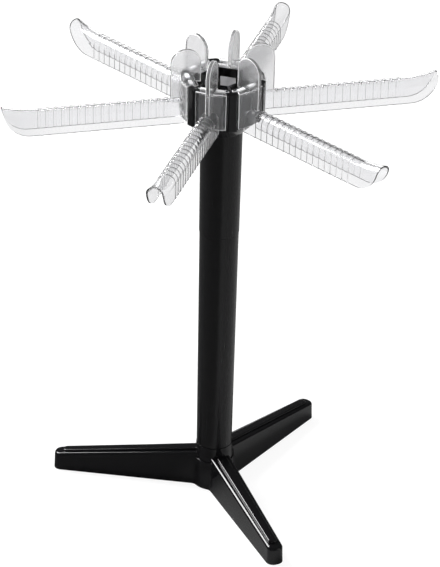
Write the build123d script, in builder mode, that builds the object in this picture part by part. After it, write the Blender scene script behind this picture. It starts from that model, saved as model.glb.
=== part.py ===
from build123d import *
from math import asin, atan, cos, degrees, radians, sin, tan
import os

# Free-standing pasta drying rack: a three-legged base, a two-part post that turns in it,
# and a six-bay hub on top. Each bay holds a clear ribbed arm that lifts straight out.
# Origin: on the floor under the post's axis. +Z is up and +X runs along the first arm.

# Whole rack
arm_count = 6
leg_count = 3
arm_step = 360 / arm_count
leg_step = 360 / leg_count
leg_turn = -81.0          # the legs' angle from the first arm, set by hand when the rack is put up
running_clearance = 0.1   # shaft in its socket, on the radius
seat_gap = 0.3            # between faces that move on each other
fit_gap = 0.1             # between fixed pieces pushed into each other, on the radius
overrun = 1.0             # how far a cut runs past the face it opens

# Base
base_top = 47.9
hub_foot_radius = 21.6
hub_foot_draft = 4.0
leg_reach = 166.0
leg_root_half = 12.4
leg_tip_half = 8.5
leg_draft = 2.0
leg_root_blend = 7.0
leg_tip_corner = 7.6
leg_top_at_root = 37.0
leg_top_at_tip = 18.8
shoulder_round = 3.0
ridge_rise = 2.3
ridge_root_half = 5.2
ridge_tip_half = 4.5
ridge_end_gap = 9.5
ridge_end_corner = 3.6
ridge_edge_round = 1.2
leg_wall = 3.0
foot_block = 26.0
foot_lift = 0.8
socket_radius = 15.6
socket_floor = 12.0
floor_thickness = 4.0

# Foot pads
pad_length = 13.0
pad_width = 9.0
pad_thickness = 2.2
pad_inset = 5.0

# Post
post_foot_radius = 18.0
lower_top_radius = 19.5
upper_foot_radius = 19.9
upper_top_radius = 20.8
post_wall = 2.2
seam_height = 292.5
plug_depth = 24.0
plug_web = 5.0
boss_radius = 5.0
coupler_half = 30.0
coupler_wall = 2.4
thread_gap = 0.05         # round a screw in its pilot hole, on the radius

# Screws and washers
screw_radius = 2.0
screw_clearance = 0.4
screw_length = 22.0
screw_head_radius = 3.9
screw_head_height = 2.8
drive_radius = 1.5
drive_depth = 1.6
washer_radius = 6.5
washer_thickness = 1.0

# Hub
hub_top = 459.5
hub_height = 40.5
hub_radius = 42.0
column_width = 11.6
column_depth = 7.0
column_corner = 3.2
column_foot_round = 3.0
web_thickness = 2.6
well_radius = 23.0
well_wall = 2.0
window_width = 16.0
window_lintel = 8.5       # wall left above a window
bay_floor = 3.0
bay_floor_radius = 36.0
neck_height = 13.0
neck_radius = 23.6
tube_entry = 9.0

# Arms
arm_reach = 215.0
channel_half_width = 8.8
channel_height = 23.5
channel_wall = 1.8
channel_drop = 18.0       # from the hub's top down to the channel's
flare_length = 34.0
flare_rise = 5.0
tip_cut_back = 27.0
rib_count = 17
rib_pitch = 7.7
rib_rise = 0.7
rib_tail = 0.1
rib_start = 53.0
key_back = 26.8
key_wall = 2.2
key_front_peak = 41.6
key_front_edge = 39.3
key_clearance = 0.35
key_cap = 2.2
fin_inner = 22.0
fin_outer = 51.2
fin_rise = 32.0           # above the hub
fin_thickness = 4.0
step_length = 9.0
step_width = 3.6
step_rise = 1.6
step_from_fin = 1.4

os.makedirs("parts", exist_ok=True)

# Sizes worked out from the ones above
hub_bottom = hub_top - hub_height
channel_top = hub_top - channel_drop
fin_top = hub_top + fin_rise
leg_slope = (leg_top_at_root - leg_top_at_tip) / (leg_reach - hub_foot_radius)
blend_reach = hub_foot_radius + 2 * leg_root_blend
gap_reach = leg_reach - foot_block
post_start = base_top + seat_gap
head_taper = (upper_top_radius - upper_foot_radius) / (hub_bottom - seam_height)
spigot_radius = socket_radius - running_clearance
spigot_bottom = socket_floor + seat_gap
neck_bottom = hub_bottom - neck_height
post_end = neck_bottom + tube_entry
floor_top = hub_bottom + bay_floor
key_bottom = floor_top + seat_gap
upper_end_radius = upper_foot_radius + (post_end - seam_height) * head_taper
lower_bore = post_foot_radius - post_wall
upper_bore = upper_foot_radius - post_wall


def leg_line(r):
    """Height of a leg's shoulder at radius r: a straight fall from root to tip."""
    return leg_top_at_root - (r - hub_foot_radius) * leg_slope


def spoke_plane(angle):
    """Upright plane through the post's axis, its x running out along a leg."""
    along = (cos(radians(angle)), sin(radians(angle)), 0)
    across = (sin(radians(angle)), -cos(radians(angle)), 0)
    return Plane(origin=(0, 0, 0), x_dir=along, z_dir=across)


def leg_half(r):
    """Half width of a leg, before its draft, at radius r."""
    return leg_root_half + (leg_tip_half - leg_root_half) * r / leg_reach


leg_angles = [leg_turn + leg_step * i for i in range(leg_count)]
column_angles = [arm_step / 2 + arm_step * i for i in range(arm_count)]


def above_leg(drop):
    """Outline, in a leg's upright plane, of all that lies above its shoulder less the drop."""
    past_tip = leg_reach + overrun
    return [
        (0, leg_line(0) - drop),
        (past_tip, leg_line(past_tip) - drop),
        (past_tip, base_top + overrun),
        (0, base_top + overrun),
    ]


def along_leg(root_half, reach, tip_half):
    """Plan of a tapering strip that runs out from the post's axis."""
    return [(0, -root_half), (reach, -tip_half), (reach, tip_half), (0, root_half)]


# One leg's body, its top falling to a rounded tip
with BuildPart() as leg_body:
    with BuildSketch(Plane.XY.offset(foot_lift)) as leg_plan:
        Polygon(*along_leg(leg_root_half, leg_reach, leg_tip_half), align=None)
        fillet(leg_plan.vertices().group_by(Axis.X)[-1], leg_tip_corner)
    extrude(amount=leg_line(0) - foot_lift, taper=leg_draft)
    with BuildSketch(Plane.XZ):
        Polygon(*above_leg(0), align=None)
    extrude(amount=leg_root_half, both=True, mode=Mode.SUBTRACT)
    shoulder = leg_body.faces().sort_by(Axis.Z)[-1]
    fillet(shoulder.edges().sort_by(Axis.X)[1:], shoulder_round)

# The narrow ridge along a leg's top, ending short of the tip
with BuildPart() as leg_ridge:
    with BuildSketch(Plane.XY.offset(leg_top_at_tip / 2)) as ridge_plan:
        Polygon(*along_leg(ridge_root_half, leg_reach - ridge_end_gap, ridge_tip_half), align=None)
        fillet(ridge_plan.vertices().group_by(Axis.X)[-1], ridge_end_corner)
    extrude(amount=base_top - leg_top_at_tip / 2)
    with BuildSketch(Plane.XZ):
        Polygon(*above_leg(-ridge_rise), align=None)
    extrude(amount=leg_root_half, both=True, mode=Mode.SUBTRACT)
    ridge_top = leg_ridge.faces().sort_by(Axis.Z)[-1]
    fillet(ridge_top.edges().sort_by(Axis.X)[1:], ridge_edge_round)

# The hollow in a leg's underside, its ceiling falling with the leg's top
with BuildPart() as leg_hollow:
    with BuildSketch(Plane.XY) as hollow_plan:
        gap_tip_half = leg_half(gap_reach) - leg_wall
        Polygon(*along_leg(leg_root_half - 2 * leg_wall, gap_reach, gap_tip_half), align=None)
        Circle(hub_foot_radius + leg_wall, mode=Mode.SUBTRACT)
    extrude(amount=base_top)
    with BuildSketch(Plane.XZ):
        Polygon(*above_leg(leg_wall), align=None)
    extrude(amount=leg_root_half, both=True, mode=Mode.SUBTRACT)

# Base: one moulding, its tapering hub and three legs blended together at their roots
with BuildPart() as base:
    with BuildSketch(Plane.XY.offset(foot_lift)) as base_plan:
        Circle(hub_foot_radius)
        with PolarLocations(0, leg_count, start_angle=leg_turn):
            Polygon(*along_leg(leg_root_half, blend_reach, leg_half(blend_reach)), align=None)
        fillet(base_plan.vertices().filter_by(lambda v: v.center().length < blend_reach), leg_root_blend)
    extrude(amount=leg_line(blend_reach) - shoulder_round - foot_lift, taper=leg_draft)
    with BuildSketch(Plane.XY.offset(foot_lift)):
        Circle(hub_foot_radius)
    extrude(amount=base_top - foot_lift, taper=hub_foot_draft)
    with PolarLocations(0, leg_count, start_angle=leg_turn):
        add(leg_body.part)
        add(leg_ridge.part)
        add(leg_hollow.part, mode=Mode.SUBTRACT)
    with Locations((0, 0, base_top)):
        Hole(socket_radius, depth=base_top - socket_floor)
    with Locations((0, 0, socket_floor)):
        Hole(screw_radius + screw_clearance, depth=socket_floor)
    with BuildSketch(Plane.XY):
        Circle(washer_radius + leg_wall)
    extrude(amount=socket_floor - floor_thickness, mode=Mode.SUBTRACT)
    with BuildSketch(Plane.XY):
        with PolarLocations(leg_reach - pad_inset - pad_length / 2, leg_count, start_angle=leg_turn):
            Rectangle(pad_length + fit_gap, pad_width + fit_gap)
    extrude(amount=pad_thickness, mode=Mode.SUBTRACT)
base.part.label = "base"
export_step(base.part, "parts/base.step")

# Foot pads: three soft pads let into the undersides of the leg tips
for i, angle in enumerate(leg_angles):
    with BuildPart() as foot_pad:
        with BuildSketch(Plane.XY):
            with PolarLocations(leg_reach - pad_inset - pad_length / 2, 1, start_angle=angle):
                Rectangle(pad_length, pad_width)
        extrude(amount=pad_thickness)
    foot_pad.part.label = f"foot_pad_{i + 1}"
    export_step(foot_pad.part, f"parts/foot_pad_{i + 1}.step")

# Post foot: the plug in the lower tube whose spigot turns in the base's socket
with BuildPart() as post_foot:
    with BuildSketch(Plane.XZ):
        Polygon(
            (0, spigot_bottom),
            (spigot_radius, spigot_bottom),
            (spigot_radius, post_start),
            (lower_bore - fit_gap, post_start),
            (lower_bore - fit_gap, post_start + plug_depth),
            (spigot_radius - post_wall, post_start + plug_depth),
            (spigot_radius - post_wall, spigot_bottom + plug_web),
            (boss_radius, spigot_bottom + plug_web),
            (boss_radius, spigot_bottom + screw_length),
            (0, spigot_bottom + screw_length),
            align=None,
        )
    revolve(axis=Axis.Z)
    with Locations((0, 0, spigot_bottom + screw_length)):
        Hole(screw_radius + thread_gap, depth=screw_length)
post_foot.part.label = "post_foot"
export_step(post_foot.part, "parts/post_foot.step")

# Lower post: the lower half of the black column, a touch wider at its head
with BuildPart() as lower_post:
    with BuildSketch(Plane.XZ):
        Polygon(
            (lower_bore, post_start),
            (post_foot_radius, post_start),
            (lower_top_radius, seam_height),
            (lower_bore, seam_height),
            align=None,
        )
    revolve(axis=Axis.Z)
lower_post.part.label = "lower_post"
export_step(lower_post.part, "parts/lower_post.step")

# Coupler: the sleeve inside the seam, its shoulder resting on the lower tube's end
coupler_low = lower_bore - fit_gap
coupler_high = upper_bore - fit_gap
with BuildPart() as post_coupler:
    with BuildSketch(Plane.XZ):
        Polygon(
            (coupler_low - coupler_wall, seam_height - coupler_half),
            (coupler_low, seam_height - coupler_half),
            (coupler_low, seam_height),
            (coupler_high, seam_height),
            (coupler_high, seam_height + coupler_half),
            (coupler_low - coupler_wall, seam_height + coupler_half),
            align=None,
        )
    revolve(axis=Axis.Z)
post_coupler.part.label = "post_coupler"
export_step(post_coupler.part, "parts/post_coupler.step")

# Upper post: the upper half of the column, its head inside the hub's neck
with BuildPart() as upper_post:
    with BuildSketch(Plane.XZ):
        Polygon(
            (upper_bore, seam_height),
            (upper_foot_radius, seam_height),
            (upper_end_radius, post_end),
            (upper_bore, post_end),
            align=None,
        )
    revolve(axis=Axis.Z)
upper_post.part.label = "upper_post"
export_step(upper_post.part, "parts/upper_post.step")

# Post head: the plug in the upper tube that the hub's screw bites into
head_radius = upper_bore - fit_gap
with BuildPart() as post_head:
    with BuildSketch(Plane.XZ):
        Polygon(
            (0, post_end),
            (head_radius, post_end),
            (head_radius, post_end - plug_depth),
            (head_radius - post_wall, post_end - plug_depth),
            (head_radius - post_wall, post_end - plug_web),
            (boss_radius, post_end - plug_web),
            (boss_radius, post_end - screw_length),
            (0, post_end - screw_length),
            align=None,
        )
    revolve(axis=Axis.Z)
    with Locations((0, 0, post_end)):
        Hole(screw_radius + thread_gap, depth=screw_length)
post_head.part.label = "post_head"
export_step(post_head.part, "parts/post_head.step")

# Hub: six rounded columns on radial webs round an open six-sided well, drawn in to the post
web_root = well_radius - well_wall
well_flat = web_root * cos(radians(arm_step / 2))
with BuildPart() as hub:
    with BuildSketch(Plane.XY.offset(hub_bottom)) as hub_plan:
        RegularPolygon(well_radius, arm_count, rotation=arm_step / 2)
        with PolarLocations((web_root + hub_radius) / 2, arm_count, start_angle=arm_step / 2):
            Rectangle(hub_radius - web_root, web_thickness)
        with PolarLocations(hub_radius - column_depth / 2, arm_count, start_angle=arm_step / 2):
            Rectangle(column_depth, column_width)
        outer = [v for v in hub_plan.vertices() if v.center().length > hub_radius]
        fillet(outer, column_corner)
    extrude(amount=hub_top - hub_bottom)
    for angle in column_angles:
        with BuildSketch(spoke_plane(angle)):
            with Locations((hub_radius, hub_bottom)):
                Rectangle(column_foot_round * 2, column_foot_round * 2)
            with Locations((hub_radius - column_foot_round, hub_bottom + column_foot_round)):
                Circle(column_foot_round, mode=Mode.SUBTRACT)
        extrude(amount=column_width, both=True, mode=Mode.SUBTRACT)
    with BuildSketch(Plane.XY.offset(hub_bottom)):
        RegularPolygon(web_root, arm_count, rotation=arm_step / 2)
    extrude(amount=hub_top - hub_bottom, mode=Mode.SUBTRACT)
    with BuildSketch(Plane.XY.offset(floor_top)):
        with PolarLocations(well_flat, arm_count):
            Rectangle(well_wall + well_wall, window_width)
    extrude(amount=hub_top - window_lintel - floor_top, mode=Mode.SUBTRACT)
    with BuildSketch(Plane.XZ):
        Polygon(
            (0, post_end),
            (upper_end_radius + fit_gap, post_end),
            (upper_end_radius + fit_gap, neck_bottom),
            (neck_radius, neck_bottom),
            (bay_floor_radius, hub_bottom),
            (bay_floor_radius, floor_top),
            (0, floor_top),
            align=None,
        )
    revolve(axis=Axis.Z)
    with Locations((0, 0, floor_top)):
        Hole(screw_radius + screw_clearance, depth=floor_top - post_end)
hub.part.label = "hub"
export_step(hub.part, "parts/hub.step")


def screw_profile(seat, way):
    """Half outline of a screw: head outside its seat, shank running the way it is driven."""
    return [
        (0, seat - way * screw_head_height),
        (screw_head_radius, seat - way * screw_head_height),
        (screw_head_radius, seat),
        (screw_radius, seat),
        (screw_radius, seat + way * screw_length),
        (0, seat + way * screw_length),
    ]


# The two screws and their washers: one up into the post's foot, one down into its head
base_seat = socket_floor - floor_thickness - seat_gap
fastenings = [
    ("base", base_seat, base_seat - washer_thickness, 1),
    ("hub", floor_top + washer_thickness, floor_top + washer_thickness, -1),
]
for name, washer_top, head_seat, way in fastenings:
    with BuildPart() as washer:
        with BuildSketch(Plane.XY.offset(washer_top)):
            Circle(washer_radius)
            Circle(screw_radius + thread_gap, mode=Mode.SUBTRACT)
        extrude(amount=-washer_thickness)
    washer.part.label = f"{name}_washer"
    export_step(washer.part, f"parts/{name}_washer.step")
    with BuildPart() as screw:
        with BuildSketch(Plane.XZ):
            Polygon(*screw_profile(head_seat, way), align=None)
        revolve(axis=Axis.Z)
        with BuildSketch(Plane.XY.offset(head_seat - way * screw_head_height)):
            RegularPolygon(drive_radius, arm_count)
        extrude(amount=way * drive_depth, mode=Mode.SUBTRACT)
    screw.part.label = f"{name}_screw"
    export_step(screw.part, f"parts/{name}_screw.step")

# Outline of an arm's root block from above: x runs out along the arm, y across it.
# Its flanks follow the bay: the webs' faces, the backs of the columns and their sides.
half_step = radians(arm_step / 2)
web_half = web_thickness / 2 + key_clearance
head_half = column_width / 2 + key_clearance
flange_reach = hub_radius - column_depth - key_clearance


def beside_column(r, offset):
    """Point at radius r along the column's axis, stepped towards the bay by offset."""
    return (
        r * cos(half_step) + offset * sin(half_step),
        r * sin(half_step) - offset * cos(half_step),
    )


def key_outline():
    """Right-hand half of the root block's outline, from the back to the front peak."""
    web_point = beside_column(key_back / cos(half_step) - web_half * tan(half_step), web_half)
    flange = beside_column(flange_reach, web_half)
    neck = beside_column(flange_reach, head_half)
    front_r = (key_front_edge - head_half * sin(half_step)) / cos(half_step)
    front = beside_column(front_r, head_half)
    return [web_point, flange, neck, front]


key_half = key_outline()
key_mirror = [(x, -y) for x, y in reversed(key_half)]
channel_bottom = channel_top - channel_height
crown = channel_top - channel_half_width
flare_start = arm_reach - flare_length
flare_radius = (flare_length**2 + flare_rise**2) / (2 * flare_rise)
fin_radius = (fin_outer - fin_inner) / 2
tall_side = channel_height + flare_rise - channel_half_width


def arch(half_width, drop, x):
    """Closed inverted-U outline on an upright plane at x, its legs reaching drop below the crown."""
    with BuildSketch(Plane(origin=(x, 0, crown), x_dir=(0, 1, 0), z_dir=(1, 0, 0))) as outline:
        Circle(half_width)
        with Locations((0, -drop / 2)):
            Rectangle(half_width * 2, drop)
        with Locations((0, -drop - half_width)):
            Rectangle(half_width * 2, half_width * 2, mode=Mode.SUBTRACT)
    return outline.sketch


channel_start = key_front_edge + seat_gap
rib_taper = degrees(atan((rib_rise - rib_tail) / rib_pitch))
flare_turn = degrees(asin((flare_length + channel_wall) / flare_radius))
tip_top = channel_top + flare_rise
with BuildLine(Plane.XZ) as channel_run:
    straight = Line((channel_start, crown), (flare_start, crown))
    JernArc(straight @ 1, straight % 1, flare_radius, flare_turn)

# Arm: a clear ribbed channel with its root block, cap and thumb fin, in one moulding
with BuildPart() as arm_moulding:
    sweep(arch(channel_half_width, tall_side, channel_start), path=channel_run.wires()[0])
    for i in range(rib_count):
        rib = arch(channel_half_width + rib_rise, tall_side, rib_start + i * rib_pitch)
        extrude(rib, amount=rib_pitch, dir=(1, 0, 0), taper=rib_taper)
    hollow = arch(channel_half_width - channel_wall, tall_side + overrun, channel_start)
    sweep(hollow, path=channel_run.wires()[0], mode=Mode.SUBTRACT)
    with BuildSketch(Plane.XY.offset(channel_bottom)):
        with Locations((arm_reach / 2, 0)):
            Rectangle(arm_reach + channel_height, 2 * channel_half_width + channel_height)
    extrude(amount=-channel_height, mode=Mode.SUBTRACT)
    with BuildSketch(Plane.XZ):
        with Locations((arm_reach - tip_cut_back, tip_top)):
            Rectangle(
                tip_cut_back + channel_height,
                channel_height + flare_rise + overrun,
                align=(Align.MIN, Align.MAX),
            )
            Ellipse(tip_cut_back, channel_height + flare_rise, mode=Mode.SUBTRACT)
    extrude(amount=channel_half_width + overrun, both=True, mode=Mode.SUBTRACT)
    with BuildSketch(Plane.XY.offset(key_bottom)):
        Polygon(*key_half, (key_front_peak, 0), *key_mirror, align=None)
    extrude(amount=hub_top - key_bottom)
    with BuildSketch(Plane.XY.offset(key_bottom)):
        Polygon(*key_half, (key_front_peak, 0), *key_mirror, align=None)
        offset(amount=-key_wall, kind=Kind.INTERSECTION)
    extrude(amount=hub_top - key_cap - key_bottom, mode=Mode.SUBTRACT)
    with BuildSketch(Plane.XZ):
        with Locations((fin_inner, hub_top - key_cap)):
            Rectangle(fin_outer - fin_inner, fin_top - fin_radius - hub_top + key_cap, align=Align.MIN)
        with Locations((key_front_peak - key_wall, channel_top - channel_wall)):
            Rectangle(
                fin_outer - key_front_peak + key_wall,
                fin_top - fin_radius - channel_top + channel_wall,
                align=Align.MIN,
            )
        with Locations((fin_inner + fin_radius, fin_top - fin_radius)):
            Circle(fin_radius)
    extrude(amount=fin_thickness / 2, both=True)
    with BuildSketch(Plane.XY.offset(hub_top - key_cap)):
        step_middle = fin_thickness / 2 + step_from_fin + step_length / 2
        with GridLocations(0, 2 * step_middle, 1, 2):
            with Locations((key_front_edge - key_wall - step_width, 0)):
                Rectangle(step_width, step_length)
    extrude(amount=key_cap + step_rise)

for i in range(arm_count):
    with BuildPart() as arm:
        with Locations(Location((0, 0, 0), (0, 0, i * arm_step))):
            add(arm_moulding.part)
    arm.part.label = f"arm_{i + 1}"
    export_step(arm.part, f"parts/arm_{i + 1}.step")
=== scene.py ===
from math import cos, radians, sin

import bmesh
import bpy
import numpy as np
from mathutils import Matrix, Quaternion, Vector


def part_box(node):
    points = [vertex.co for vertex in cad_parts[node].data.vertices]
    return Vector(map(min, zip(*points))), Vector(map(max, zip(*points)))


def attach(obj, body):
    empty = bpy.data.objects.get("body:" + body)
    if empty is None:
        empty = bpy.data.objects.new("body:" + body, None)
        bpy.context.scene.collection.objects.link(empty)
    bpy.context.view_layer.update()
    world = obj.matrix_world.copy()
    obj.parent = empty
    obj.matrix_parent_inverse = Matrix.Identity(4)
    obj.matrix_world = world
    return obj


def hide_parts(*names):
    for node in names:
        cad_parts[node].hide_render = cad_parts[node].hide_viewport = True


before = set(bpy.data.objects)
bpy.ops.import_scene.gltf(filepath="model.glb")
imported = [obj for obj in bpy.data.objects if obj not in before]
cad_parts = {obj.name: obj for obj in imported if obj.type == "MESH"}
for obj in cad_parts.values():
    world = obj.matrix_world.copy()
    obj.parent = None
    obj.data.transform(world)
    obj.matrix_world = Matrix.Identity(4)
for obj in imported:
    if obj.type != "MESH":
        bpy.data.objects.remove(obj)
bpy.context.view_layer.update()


# Camera: three metres off on a long lens, a little left of the front leg and 29 degrees above
# the worktop, tipped by about one degree, as the photograph was taken.
camera_azimuth = radians(-14.05)
camera_elevation = radians(29.37)
camera_distance = 3.0646
camera_roll = radians(1.36)
aim_height = 0.23212
picture_width, picture_height = 440, 567
focal_pixels = 3080.2
aim_x, aim_y = 217.87, 283.36
sensor_size = 36.0
nearest, farthest = 0.1, 100

camera_data = bpy.data.cameras.new("camera")
camera_data.sensor_width = sensor_size
camera_data.lens = focal_pixels / picture_height * sensor_size
camera_data.shift_x = (picture_width / 2 - aim_x) / picture_height
camera_data.shift_y = (aim_y - picture_height / 2) / picture_height
camera_data.clip_start = nearest
camera_data.clip_end = farthest
camera = bpy.data.objects.new("camera", camera_data)
bpy.context.scene.collection.objects.link(camera)
away = Vector(
    (
        sin(camera_azimuth) * cos(camera_elevation),
        -cos(camera_azimuth) * cos(camera_elevation),
        sin(camera_elevation),
    )
)
camera.location = Vector((0, 0, aim_height)) + away * camera_distance
camera.rotation_mode = "QUATERNION"
camera.rotation_quaternion = (-away).to_track_quat("-Z", "Y") @ Quaternion((0, 0, 1), camera_roll)
bpy.context.scene.camera = camera
bpy.context.scene.view_settings.view_transform = "Standard"


# Worktop and room: a pale matt worktop in a white room, lit by three soft boxes. To the camera
# and through the clear arms it is mostly plain white. Mirrored in the glossy parts, it shows
# painted shade on the left and a paler painted reflection on the right. None of it belongs to
# the rack.
def add_node(tree, kind, values=(), **settings):
    """New shader node: settings are its own properties, values its unlinked sockets."""
    node = tree.nodes.new(kind)
    for name, value in settings.items():
        setattr(node, name, value)
    for name, value in dict(values).items():
        node.inputs[name].default_value = value
    return node


plain_white = (1, 1, 1, 1)
worktop_half = 8.0
worktop_tone = 0.86
worktop_white_share = 0.8
worktop_white = 1.1
# Painted reflection: the tones the glossy parts see mirrored in the worktop, a paler painted light on
# the right and painted shade on the left.
mirrored_light_tone, shade_tone = 0.28, 0.06
mirrored_light_way = (1, 0, 0)
mirrored_light_edge, mirrored_light_blur = -0.025, 0.03
# The room's light, then how bright it looks through the arms, mirrored and to the camera.
world_light = 0.6
world_tones = {"Is Transmission Ray": 0.45, "Is Glossy Ray": 0.06, "Is Camera Ray": 1.0}

corners = worktop_half * np.array([(-1, -1, 0), (1, -1, 0), (1, 1, 0), (-1, 1, 0)])
worktop_mesh = bpy.data.meshes.new("worktop")
worktop_mesh.from_pydata(corners.tolist(), [], [(0, 1, 2, 3)])
worktop = bpy.data.objects.new("worktop", worktop_mesh)
bpy.context.scene.collection.objects.link(worktop)

worktop_paint = bpy.data.materials.new("pale_worktop")
worktop_paint.use_nodes = True
tree = worktop_paint.node_tree
tree.nodes.clear()
rays = add_node(tree, "ShaderNodeLightPath")
seen = add_node(tree, "ShaderNodeMath", operation="MAXIMUM")
share = add_node(tree, "ShaderNodeMath", {1: worktop_white_share}, operation="MULTIPLY")
place = add_node(tree, "ShaderNodeTexCoord")
across = add_node(tree, "ShaderNodeVectorMath", {1: mirrored_light_way}, operation="DOT_PRODUCT")
mirrored_light_start, mirrored_light_end = mirrored_light_edge - mirrored_light_blur, mirrored_light_edge + mirrored_light_blur
mirrored_light = add_node(tree, "ShaderNodeMapRange", {"From Min": mirrored_light_start, "From Max": mirrored_light_end})
mirrored_light.inputs["To Min"].default_value = shade_tone
mirrored_light.inputs["To Max"].default_value = mirrored_light_tone
tone = add_node(tree, "ShaderNodeMix", {"A": worktop_tone})
matt = add_node(tree, "ShaderNodeBsdfDiffuse")
white = add_node(tree, "ShaderNodeEmission", {"Color": plain_white, "Strength": worktop_white})
both = add_node(tree, "ShaderNodeMixShader")
surface = add_node(tree, "ShaderNodeOutputMaterial")
tree.links.new(rays.outputs["Is Camera Ray"], seen.inputs[0])
tree.links.new(rays.outputs["Is Transmission Ray"], seen.inputs[1])
tree.links.new(seen.outputs[0], share.inputs[0])
tree.links.new(share.outputs[0], both.inputs["Fac"])
tree.links.new(place.outputs["Object"], across.inputs[0])
tree.links.new(across.outputs["Value"], mirrored_light.inputs[0])
# Glossy rays see the painted light and shade tones instead of the worktop's own tone.
tree.links.new(rays.outputs["Is Glossy Ray"], tone.inputs["Factor"])
tree.links.new(mirrored_light.outputs[0], tone.inputs["B"])
tree.links.new(tone.outputs[0], matt.inputs["Color"])
tree.links.new(matt.outputs[0], both.inputs[1])
tree.links.new(white.outputs[0], both.inputs[2])
tree.links.new(both.outputs[0], surface.inputs["Surface"])
worktop_mesh.materials.append(worktop_paint)

world = bpy.data.worlds.new("white_room")
world.use_nodes = True
bpy.context.scene.world = world
tree = world.node_tree
tree.nodes.clear()
rays = add_node(tree, "ShaderNodeLightPath")
room = add_node(tree, "ShaderNodeBackground", {"Color": plain_white, "Strength": world_light})
for ray_kind, strength in world_tones.items():
    seen_so = add_node(tree, "ShaderNodeBackground", {"Color": plain_white, "Strength": strength})
    either = add_node(tree, "ShaderNodeMixShader")
    tree.links.new(rays.outputs[ray_kind], either.inputs["Fac"])
    tree.links.new(room.outputs[0], either.inputs[1])
    tree.links.new(seen_so.outputs[0], either.inputs[2])
    room = either
surface = add_node(tree, "ShaderNodeOutputWorld")
tree.links.new(room.outputs[0], surface.inputs["Surface"])

rack_middle = (0, 0, 0.25)


def soft_box(name, place, width, height, watts):
    """Area lamp at place that faces the rack's middle."""
    lamp = bpy.data.lights.new(name, "AREA")
    lamp.shape = "RECTANGLE"
    lamp.size = width
    lamp.size_y = height
    lamp.energy = watts
    box = bpy.data.objects.new(name, lamp)
    box.location = place
    box.rotation_mode = "QUATERNION"
    box.rotation_quaternion = (Vector(rack_middle) - Vector(place)).to_track_quat("-Z", "Y")
    bpy.context.scene.collection.objects.link(box)


soft_box("box_back_left", place=(-0.85, 1.0, 1.3), width=1.0, height=1.0, watts=60)
soft_box("box_low_back", place=(0.87, 4.92, 0.75), width=1.9, height=0.95, watts=14)
soft_box("box_right", place=(1.9, -1.7, 1.3), width=1.3, height=1.8, watts=7)


# Base: one black injection moulding with three ridged legs, glossy as it left the mould. The
# legs' narrow ridges catch the light. It stands on the worktop on its pads.
sharp_edge = radians(30)
weld_gap = 1e-6
face_weight = 100


def soften(node, edge):
    """Joins a CAD node's loose triangles, rounds its sharp edges by edge metres and shades it smooth."""
    node.data.polygons.foreach_set("use_smooth", np.ones(len(node.data.polygons), bool))
    weld = node.modifiers.new("weld", "WELD")
    weld.merge_threshold = weld_gap
    round_off = node.modifiers.new("round_off", "BEVEL")
    round_off.limit_method = "ANGLE"
    round_off.angle_limit = sharp_edge
    round_off.width = edge
    round_off.segments = 2
    even = node.modifiers.new("even", "WEIGHTED_NORMAL")
    even.weight = face_weight


cloud_scale = 26.0
speck_share = 0.5
gloss_start, gloss_end = 0.45, 1.05
cloud_height, speck_height = 0.0005, 0.00005


def moulded_plastic(name, colour, dull, shiny, ripple, grain, stretch):
    """Opaque plastic. Its gloss wanders between dull and shiny with a cloudy noise plus a share of
    a fine one, and both ripple its skin faintly. Stretch draws both out along Z, as on a tube."""
    paint = bpy.data.materials.new(name)
    paint.use_nodes = True
    tree = paint.node_tree
    plastic = tree.nodes["Principled BSDF"]
    plastic.inputs["Base Color"].default_value = colour
    place = add_node(tree, "ShaderNodeTexCoord")
    turn = add_node(tree, "ShaderNodeMapping", {"Scale": (1, 1, 1 / stretch)})
    cloud = add_node(tree, "ShaderNodeTexNoise", {"Scale": cloud_scale, "Detail": 3.0})
    speck = add_node(tree, "ShaderNodeTexNoise", {"Scale": grain, "Detail": 4.0})
    blend = add_node(tree, "ShaderNodeMath", {1: speck_share}, operation="MULTIPLY_ADD")
    rough = add_node(tree, "ShaderNodeMapRange", {"From Min": gloss_start, "From Max": gloss_end})
    rough.inputs["To Min"].default_value = shiny
    rough.inputs["To Max"].default_value = dull
    bump = add_node(tree, "ShaderNodeBump", {"Strength": ripple, "Distance": cloud_height})
    fine = add_node(tree, "ShaderNodeBump", {"Strength": ripple / 3, "Distance": speck_height})
    links = tree.links
    links.new(place.outputs["Object"], turn.inputs["Vector"])
    links.new(turn.outputs[0], cloud.inputs["Vector"])
    links.new(turn.outputs[0], speck.inputs["Vector"])
    links.new(speck.outputs[0], blend.inputs[0])
    links.new(cloud.outputs[0], blend.inputs[2])
    links.new(blend.outputs[0], rough.inputs["Value"])
    links.new(rough.outputs[0], plastic.inputs["Roughness"])
    links.new(cloud.outputs[0], bump.inputs["Height"])
    links.new(speck.outputs[0], fine.inputs["Height"])
    links.new(bump.outputs[0], fine.inputs["Normal"])
    links.new(fine.outputs[0], plastic.inputs["Normal"])
    return paint


def dress(node_name, paint, edge):
    """Gives a CAD node its rounded edges and its material."""
    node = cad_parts[node_name]
    soften(node, edge)
    node.data.materials.clear()
    node.data.materials.append(paint)


black = (0.004, 0.004, 0.0045, 1)
moulding_edge = 0.0005
black_moulding = moulded_plastic(
    "black_moulding", black, dull=0.13, shiny=0.06, ripple=0.08, grain=900, stretch=1
)
dress("base", black_moulding, moulding_edge)


# Foot pads: three soft black pads pressed into the undersides of the leg tips, so that the
# rack doesn't slide on the worktop.
rubber_black = (0.03, 0.03, 0.03, 1)
pad_edge = 0.0003
pad_rubber = moulded_plastic(
    "pad_rubber", rubber_black, dull=0.95, shiny=0.8, ripple=0.6, grain=2500, stretch=1
)
for number in (1, 2, 3):
    dress(f"foot_pad_{number}", pad_rubber, pad_edge)


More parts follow.
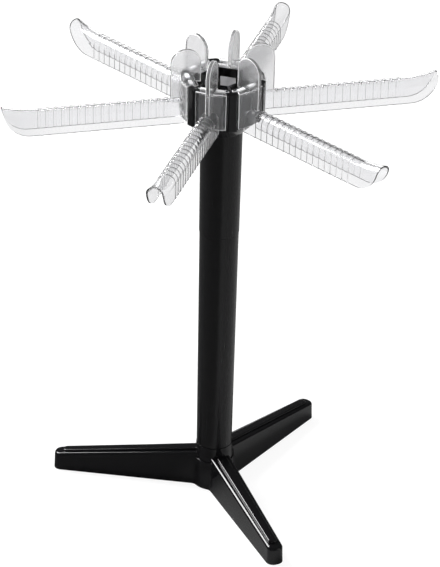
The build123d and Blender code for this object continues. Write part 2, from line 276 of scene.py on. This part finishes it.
# Post: two black tubes, one above the other, each widening a little upwards, with a softer
# shine than the mouldings and faint lines along them from the mould's draw.
soft_black = (0.005, 0.005, 0.0055, 1)
tube_edge = 0.0004
tube_black = moulded_plastic(
    "tube_black", soft_black, dull=0.3, shiny=0.18, ripple=0.12, grain=1400, stretch=40
)
dress("lower_post", tube_black, tube_edge)
dress("upper_post", tube_black, tube_edge)


# Plugs and coupler: dark matt mouldings pressed inside the tubes, which hold the post
# together and carry its two screws.
dark_grey = (0.045, 0.045, 0.047, 1)
plug_edge = 0.0003
plug_grey = moulded_plastic(
    "plug_grey", dark_grey, dull=0.7, shiny=0.5, ripple=0.2, grain=1200, stretch=1
)
for name in ("post_foot", "post_coupler", "post_head"):
    dress(name, plug_grey, plug_edge)


# Hub: a black moulding with six rounded columns round an open six-sided well. It is screwed
# down on the upper tube, and the arms drop into its bays from above.
dress("hub", black_moulding, moulding_edge)


# Screws and washers: zinc plated steel, turned, one pair up into the post's foot and one pair
# down into its head, at the bottom of the well.
zinc_grey = (0.62, 0.62, 0.6, 1)
screw_edge = 0.00012
ring_scale = 1 / 0.0006
ring_waver = 0.6
ring_height = 0.00004
ring_strength = 0.25
ring_shiny, ring_dull = 0.28, 0.45


def plated_steel(name, colour):
    """Metal with fine turning rings round the post's axis, which change its gloss and stand out
    from it."""
    paint = bpy.data.materials.new(name)
    paint.use_nodes = True
    tree = paint.node_tree
    metal = tree.nodes["Principled BSDF"]
    metal.inputs["Base Color"].default_value = colour
    metal.inputs["Metallic"].default_value = 1.0
    place = add_node(tree, "ShaderNodeTexCoord")
    rings = add_node(tree, "ShaderNodeTexWave", wave_type="RINGS", rings_direction="Z")
    rings.inputs["Scale"].default_value = ring_scale
    rings.inputs["Distortion"].default_value = ring_waver
    rough = add_node(tree, "ShaderNodeMapRange", {"To Min": ring_shiny, "To Max": ring_dull})
    bump = add_node(tree, "ShaderNodeBump", {"Strength": ring_strength, "Distance": ring_height})
    tree.links.new(place.outputs["Object"], rings.inputs["Vector"])
    tree.links.new(rings.outputs["Color"], rough.inputs["Value"])
    tree.links.new(rough.outputs[0], metal.inputs["Roughness"])
    tree.links.new(rings.outputs["Color"], bump.inputs["Height"])
    tree.links.new(bump.outputs[0], metal.inputs["Normal"])
    return paint


zinc = plated_steel("zinc", zinc_grey)
for name in ("base_screw", "base_washer", "hub_screw", "hub_washer"):
    dress(name, zinc, screw_edge)


# Arms: six clear mouldings, alike, each a ribbed channel with a flared tip, a root block that
# drops into a bay of the hub, a cap over it with two short bars, and a flat fin to lift it by.
# The outer skin is polished. The block's inside is matt, with a grey tone as painted shade, and
# the cut edges are painted opaque white as a highlight.
plastic_bend = 1.49
blue_lift = 0.01
flow_scale, haze_scale = 60.0, 500.0
flow_strength, flow_height = 0.05, 0.0004


def clear_plastic(name, tone, clarity, shiny, dull):
    """Clear moulded plastic: it bends light, and its skin waves faintly. Clarity is the share of
    light let through, and its gloss wanders between shiny and dull."""
    paint = bpy.data.materials.new(name)
    paint.use_nodes = True
    tree = paint.node_tree
    plastic = tree.nodes["Principled BSDF"]
    plastic.inputs["Base Color"].default_value = (tone, tone, tone + blue_lift, 1)
    plastic.inputs["IOR"].default_value = plastic_bend
    plastic.inputs["Transmission Weight"].default_value = clarity
    place = add_node(tree, "ShaderNodeTexCoord")
    flow = add_node(tree, "ShaderNodeTexNoise", {"Scale": flow_scale, "Detail": 2.0})
    haze = add_node(tree, "ShaderNodeTexNoise", {"Scale": haze_scale, "Detail": 4.0})
    rough = add_node(tree, "ShaderNodeMapRange", {"To Min": shiny, "To Max": dull})
    bump = add_node(tree, "ShaderNodeBump", {"Strength": flow_strength, "Distance": flow_height})
    links = tree.links
    links.new(place.outputs["Object"], flow.inputs["Vector"])
    links.new(place.outputs["Object"], haze.inputs["Vector"])
    links.new(haze.outputs[0], rough.inputs["Value"])
    links.new(rough.outputs[0], plastic.inputs["Roughness"])
    links.new(flow.outputs[0], bump.inputs["Height"])
    links.new(bump.outputs[0], plastic.inputs["Normal"])
    return paint


arm_paints = (
    clear_plastic("clear_moulding", tone=0.98, clarity=0.97, shiny=0.0, dull=0.09),
    # Painted highlight: opaque white for the chamfers and bars, in place of the light they catch.
    clear_plastic("painted_highlight_edge", tone=0.98, clarity=0.0, shiny=0.45, dull=0.6),
    # Painted shade: the matt inner wall's grey tone darkens the plates seen through it.
    clear_plastic("matt_shaded_core", tone=0.72, clarity=0.8, shiny=0.35, dull=0.5),
    clear_plastic("hazy_fin", tone=0.91, clarity=0.92, shiny=0.15, dull=0.3),
)
on_skin, on_painted_highlight, on_shaded_core, on_fin = range(len(arm_paints))


def solid(name, points, faces, paints):
    """Mesh object of one closed block, with the number of its paint for each face and all its
    faces turned outwards."""
    mesh = bpy.data.meshes.new(name)
    mesh.from_pydata(np.asarray(points).tolist(), [], [tuple(map(int, f)) for f in faces])
    for paint in arm_paints:
        mesh.materials.append(paint)
    mesh.polygons.foreach_set("material_index", paints)
    shell = bmesh.new()
    shell.from_mesh(mesh)
    bmesh.ops.recalc_face_normals(shell, faces=shell.faces[:])
    shell.to_mesh(mesh)
    shell.free()
    piece = bpy.data.objects.new(name, mesh)
    bpy.context.scene.collection.objects.link(piece)
    return piece


# Channel: an arch on two straight sides, open below, with ribs across it. Its top sweeps up at
# the tip, where the sides are cut back to nothing.
arm_low, arm_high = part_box("arm_1")
hub_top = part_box("hub")[1].z
arm_reach = arm_high.x
channel_bottom = arm_low.z
channel_half = 0.0088
channel_crest = channel_bottom + 0.0235
channel_wall = 0.0018
channel_start = 0.0396
before_ribs = 0.046
flare_length = 0.034
flare_rise = 0.005
in_flare = 0.1865
cut_back = 0.027
rib_count = 17
rib_start = 0.053
rib_pitch = 0.0077
rib_width = 0.003
rib_rise = 0.0004
rib_flank = 0.00045
rib_bend = 0.00008
least_height = 1e-5
station_digits = 7
tip_points = 34
arch_points = 33
side_points = 5


def crest(x):
    """Height of the channel's top at x: level, then an arc that climbs flare_rise over flare_length."""
    radius = (flare_length**2 + flare_rise**2) / (2 * flare_rise)
    past = np.clip(x - (arm_reach - flare_length), 0, None)
    return channel_crest + radius - np.sqrt(radius**2 - past**2)


def lower_edge(x):
    """Height of the channel's lower edge at x: level, then a quarter ellipse up to the tip's top."""
    tall = channel_crest + flare_rise - channel_bottom
    past = np.clip((x - (arm_reach - cut_back)) / cut_back, 0, 1)
    return channel_bottom + tall * (1 - np.sqrt(1 - past**2))


def rib_height(x):
    """How far the skin stands out at x: flat-topped ribs with short sloping flanks."""
    along = (x - rib_start) % rib_pitch
    in_run = (x >= rib_start) & (x < rib_start + rib_count * rib_pitch)
    up = np.clip(np.minimum(along, rib_width - along) / rib_flank, 0, 1)
    return rib_rise * up * in_run


def arch_line(x, offset):
    """Points of one arch at each x: up the side at +Y, over a half circle of channel_half + offset
    and down the other side. Where the lower edge is above the sides, the circle starts there."""
    half = channel_half + offset
    middle = crest(x) - channel_half
    foot = np.clip(lower_edge(x), None, crest(x) + offset - least_height)
    rise = np.clip((foot - middle) / half, 0, 1)
    first = np.arcsin(rise)
    share = np.linspace(0, 1, arch_points)
    angle = first[:, None] + (np.pi - 2 * first[:, None]) * share
    arch_y = half[:, None] * np.cos(angle)
    arch_z = middle[:, None] + half[:, None] * np.sin(angle)
    climb = np.linspace(0, 1, side_points + 1)[:-1]
    side_z = foot[:, None] + (arch_z[:, :1] - foot[:, None]) * climb
    side_y = np.broadcast_to(arch_y[:, :1], side_z.shape)
    y = np.hstack([side_y, arch_y, -side_y[:, ::-1]])
    z = np.hstack([side_z, arch_z, side_z[:, ::-1]])
    return y, z


def channel_stations():
    """Places along the arm: both sides of every bend of a rib, the middle between two ribs, and
    closer and closer up the tip, as the sine of an even turn."""
    ribs = rib_start + rib_pitch * np.arange(rib_count)[:, None]
    bends = np.array([-rib_bend, rib_bend, rib_flank - rib_bend, rib_flank + rib_bend])
    marks = np.concatenate([bends, rib_width - bends[::-1], [(rib_width + rib_pitch) / 2]])
    turn = np.linspace(0, np.pi / 2, tip_points)[1:-1]
    tip = arm_reach - cut_back + cut_back * np.sin(turn)
    run = np.concatenate([[channel_start, before_ribs], (ribs + marks).ravel(), [in_flare], tip])
    return np.unique(np.round(run, station_digits))


def channel_shell():
    """Closed shell of the channel: the outer arch, then the inner one back, carried along x, with
    strips between the two that close both ends."""
    x = channel_stations()
    x = x[lower_edge(x) < crest(x) - channel_wall - least_height]
    outer_y, outer_z = arch_line(x, rib_height(x))
    inner_y, inner_z = arch_line(x, np.full(len(x), -channel_wall))
    y = np.hstack([outer_y, inner_y[:, ::-1]])
    z = np.hstack([outer_z, inner_z[:, ::-1]])
    stations, loop = y.shape
    points = np.stack([np.broadcast_to(x[:, None], y.shape), y, z], axis=-1).reshape(-1, 3)
    at = np.arange(stations * loop).reshape(stations, loop)
    turned = np.roll(at, -1, axis=1)
    sides = np.stack([at[:-1], at[1:], turned[1:], turned[:-1]], axis=-1).reshape(-1, 4)
    step = np.arange(loop // 2 - 1)
    ends = []
    for row, way in ((at[0], 1), (at[-1], -1)):
        strip = [row[step], row[step + 1], row[loop - 2 - step], row[loop - 1 - step]]
        ends.append(np.stack(strip, axis=-1)[:, ::way])
    faces = np.vstack([sides, *ends])
    return points, faces, [on_skin] * len(faces)


# Root block: hollow and open below, with a cap on top. Its flanks follow the hub's bay with a
# small gap, past the webs, the backs of the columns and their sides, to a blunt front.
arm_count = 6
arm_step = radians(360 / arm_count)
half_step = arm_step / 2
column_width = 0.0116
column_depth = 0.007
hub_radius = 0.042
web_thickness = 0.0026
bay_gap = 0.00035
key_back = 0.0268
key_peak = 0.0416
key_edge = 0.0393
key_wall = 0.0022
key_cap = 0.0022
key_bottom = hub_top - 0.0372
key_chamfer = 0.0007


def beside_column(r, offset):
    """Point at radius r on the line between two bays, stepped towards this bay by offset."""
    return (
        r * cos(half_step) + offset * sin(half_step),
        r * sin(half_step) - offset * cos(half_step),
    )


def key_plan():
    """Outline of the root block from above, back to front on one flank, then mirrored."""
    web = web_thickness / 2 + bay_gap
    head = column_width / 2 + bay_gap
    reach = hub_radius - column_depth - bay_gap
    back_r = (key_back - web * sin(half_step)) / cos(half_step)
    front_r = (key_edge - head * sin(half_step)) / cos(half_step)
    flank = [
        beside_column(back_r, web),
        beside_column(reach, web),
        beside_column(reach, head),
        beside_column(front_r, head),
    ]
    mirrored = [(x, -y) for x, y in reversed(flank)]
    return np.array(flank + [(key_peak, 0)] + mirrored)


def inset(outline, depth):
    """Outline moved inwards by depth: each corner goes to where its two shifted sides cross."""
    before = np.roll(outline, 1, axis=0)
    after = np.roll(outline, -1, axis=0)
    first = (outline - before) / np.linalg.norm(outline - before, axis=1)[:, None]
    second = (after - outline) / np.linalg.norm(after - outline, axis=1)[:, None]
    area = np.sum(outline[:, 0] * after[:, 1] - after[:, 0] * outline[:, 1])
    side = np.sign(area)
    first_in = side * np.stack([-first[:, 1], first[:, 0]], axis=1)
    second_in = side * np.stack([-second[:, 1], second[:, 0]], axis=1)
    middle = first_in + second_in
    return outline + depth * middle * (2 / np.sum(middle**2, axis=1))[:, None]


def key_block():
    """Root block: its outline carried up the outside, over the cap, and the inset outline down
    the inside to the rim. Its inner wall is matt and grey, a painted shade on the plates seen through
    it."""
    outer = key_plan()
    inner = inset(outer, key_wall)
    count = len(outer)
    rings = [
        (outer, key_bottom),
        (outer, hub_top),
        (inner, hub_top - key_cap),
        (inner, key_bottom),
    ]
    points = np.vstack([np.column_stack([ring, np.full(count, z)]) for ring, z in rings])
    here = np.arange(count)
    then = np.roll(here, -1)
    faces = []
    for low, high in ((0, 1), (2, 3), (3, 0)):
        first, last = low * count, high * count
        faces += np.stack([first + here, last + here, last + then, first + then], axis=-1).tolist()
    faces.append((count + here).tolist())
    faces.append((2 * count + here[::-1]).tolist())
    return points, faces, [on_skin] * count + [on_shaded_core] * count + [on_skin] * (count + 2)


# Fin: a flat plate on the cap with a half-round top, to lift the arm by. In front of the root
# block it reaches down to the channel. It is a little hazy.
fin_inner = 0.022
fin_outer = 0.0512
fin_top = arm_high.z
fin_thickness = 0.004
fin_arc_points = 28
fin_chamfer = 0.0005


def fin_plate():
    """The fin: a half circle over its whole length, then straight down, with a step over the root
    block, and given its thickness along y."""
    radius = (fin_outer - fin_inner) / 2
    turn = np.linspace(0, np.pi, fin_arc_points)
    arc_x = fin_inner + radius + radius * np.cos(turn)
    arc_z = fin_top - radius + radius * np.sin(turn)
    foot = channel_crest - channel_wall
    step = hub_top - key_cap
    front = key_peak - key_wall
    base = np.array([(fin_inner, step), (front, step), (front, foot), (fin_outer, foot)])
    outline = np.vstack([np.column_stack([arc_x, arc_z]), base])
    count = len(outline)
    half = fin_thickness / 2
    near = np.column_stack([outline[:, 0], np.full(count, -half), outline[:, 1]])
    far = np.column_stack([outline[:, 0], np.full(count, half), outline[:, 1]])
    here = np.arange(count)
    then = np.roll(here, -1)
    faces = np.stack([here, then, then + count, here + count], axis=-1).tolist()
    faces.append(here[::-1].tolist())
    faces.append((here + count).tolist())
    return np.vstack([near, far]), faces, [on_fin] * len(faces)


# Bars: two short plain blocks moulded on the cap, one each side of the fin, a little behind the
# cap's front edge. They are painted opaque white, a painted highlight for the light they catch.
bar_length = 0.009
bar_width = 0.0036
bar_rise = 0.0016
bar_from_fin = 0.0014
bar_chamfer = 0.00015
block_faces = [(0, 1, 3, 2), (4, 6, 7, 5), (0, 4, 5, 1), (2, 3, 7, 6), (0, 2, 6, 4), (1, 5, 7, 3)]


def bar_block(side):
    """Bar on the given side of the fin: the eight corners of its box."""
    x = key_edge - key_wall - bar_width + bar_width * np.array([-0.5, 0.5])
    y = side * (fin_thickness / 2 + bar_from_fin + bar_length * np.array([0, 1]))
    z = np.array([hub_top - key_cap / 2, hub_top + bar_rise])
    grid = np.stack(np.meshgrid(x, y, z, indexing="ij"), axis=-1).reshape(-1, 3)
    # Every face of the bar gets the painted highlight.
    return grid, block_faces, [on_painted_highlight] * len(block_faces)


# Whole arm: channel, root block, fin and bars are joined into one skin along +X, as they are
# one moulding, and the other five arms are the same turned round the post.
smooth_turn = radians(28)


def bake(piece):
    """Replaces a piece's mesh by what its modifiers make of it."""
    graph = bpy.context.evaluated_depsgraph_get()
    made = bpy.data.meshes.new_from_object(piece.evaluated_get(graph))
    piece.modifiers.clear()
    piece.data = made


def chamfer(piece, edge):
    """Cuts the sharp edges of a block back by edge metres and paints the cuts white as a highlight."""
    cut = piece.modifiers.new("cut", "BEVEL")
    cut.width = edge
    cut.segments = 1
    # The cuts get the painted highlight.
    cut.material = on_painted_highlight
    cut.limit_method = "ANGLE"
    cut.angle_limit = sharp_edge
    bake(piece)


def arm_mesh():
    """The whole arm: each block is chamfered and added to the channel in turn."""
    body = solid("arm_body", *channel_shell())
    blocks = [("key", key_block(), key_chamfer), ("fin", fin_plate(), fin_chamfer)]
    blocks += [(f"bar_{side}", bar_block(side), bar_chamfer) for side in (-1, 1)]
    for name, shape, edge in blocks:
        block = solid(name, *shape)
        chamfer(block, edge)
        join = body.modifiers.new(name, "BOOLEAN")
        join.operation = "UNION"
        join.solver = "EXACT"
        join.object = block
        bake(body)
        bpy.data.objects.remove(block)
    mesh = body.data
    bpy.data.objects.remove(body)
    return mesh


first_arm = arm_mesh()
points = np.empty(len(first_arm.vertices) * 3)
first_arm.vertices.foreach_get("co", points)
points = points.reshape(-1, 3)
for number in range(arm_count):
    turn = number * arm_step
    spin = np.array([(cos(turn), -sin(turn), 0), (sin(turn), cos(turn), 0), (0, 0, 1)])
    mesh = first_arm.copy()
    mesh.vertices.foreach_set("co", (points @ spin.T).ravel())
    mesh.polygons.foreach_set("use_smooth", np.ones(len(mesh.polygons), bool))
    mesh.set_sharp_from_angle(angle=smooth_turn)
    mesh.update()
    arm = bpy.data.objects.new(f"clear_arm_{number + 1}", mesh)
    bpy.context.scene.collection.objects.link(arm)
    flat = arm.modifiers.new("flat", "WEIGHTED_NORMAL")
    flat.weight = face_weight
    flat.keep_sharp = True
    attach(arm, f"arm_{number + 1}")
    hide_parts(f"arm_{number + 1}")
